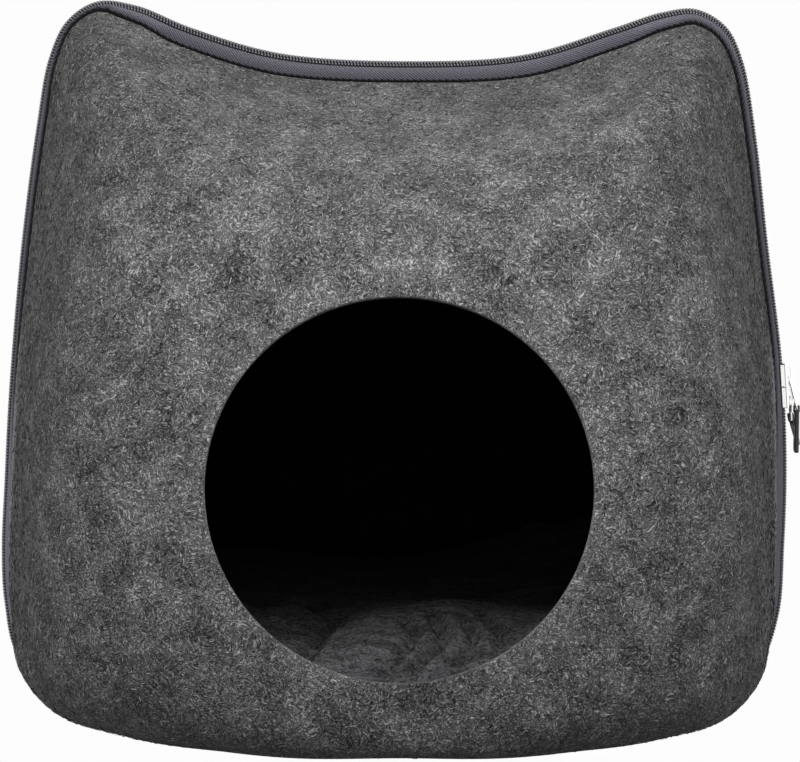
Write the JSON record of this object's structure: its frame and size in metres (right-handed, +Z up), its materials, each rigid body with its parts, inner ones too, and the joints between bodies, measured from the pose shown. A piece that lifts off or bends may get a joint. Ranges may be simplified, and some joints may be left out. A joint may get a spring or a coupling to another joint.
{
  "type": "felt cat cave",
  "caption": "Cat-head-shaped cave of moulded grey felt with a round entrance, zipped together over the ears, with a soft cushion inside.",
  "frame": {"origin": "on the floor under the middle of the entrance, in the plane of the zip (at most 2 mm from the middle of the bounding box's bottom)", "axes": "+X to the right as seen from the entrance's side, -Y out of the entrance, +Z up from the base it stands on"},
  "size_m": [0.3812, 0.3431, 0.329],
  "materials": {
    "anthracite_felt": "needle-punched felt with light and dark fibres, 3.5 mm thick",
    "zip_tape_cloth": "woven polyester twill",
    "zip_coil_nylon": "dark nylon coil",
    "nickel": "bright nickel plate",
    "black_tab": "black coated, satin",
    "dark_plush": "short dark grey plush over a soft filling"
  },
  "bodies": {
    "root": {"front_shell": "anthracite_felt", "back_shell": "anthracite_felt", "zip_tape_front": "zip_tape_cloth", "zip_tape_back": "zip_tape_cloth", "zip_chain_upper": "zip_coil_nylon", "zip_chain_lower": "zip_coil_nylon", "slider_upper": "nickel", "slider_lower": "nickel", "pull_link_upper": "nickel", "pull_link_lower": "nickel", "pull_tab_upper": "black_tab", "pull_tab_lower": "black_tab", "cushion": "dark_plush"}
  },
  "joints": []
}
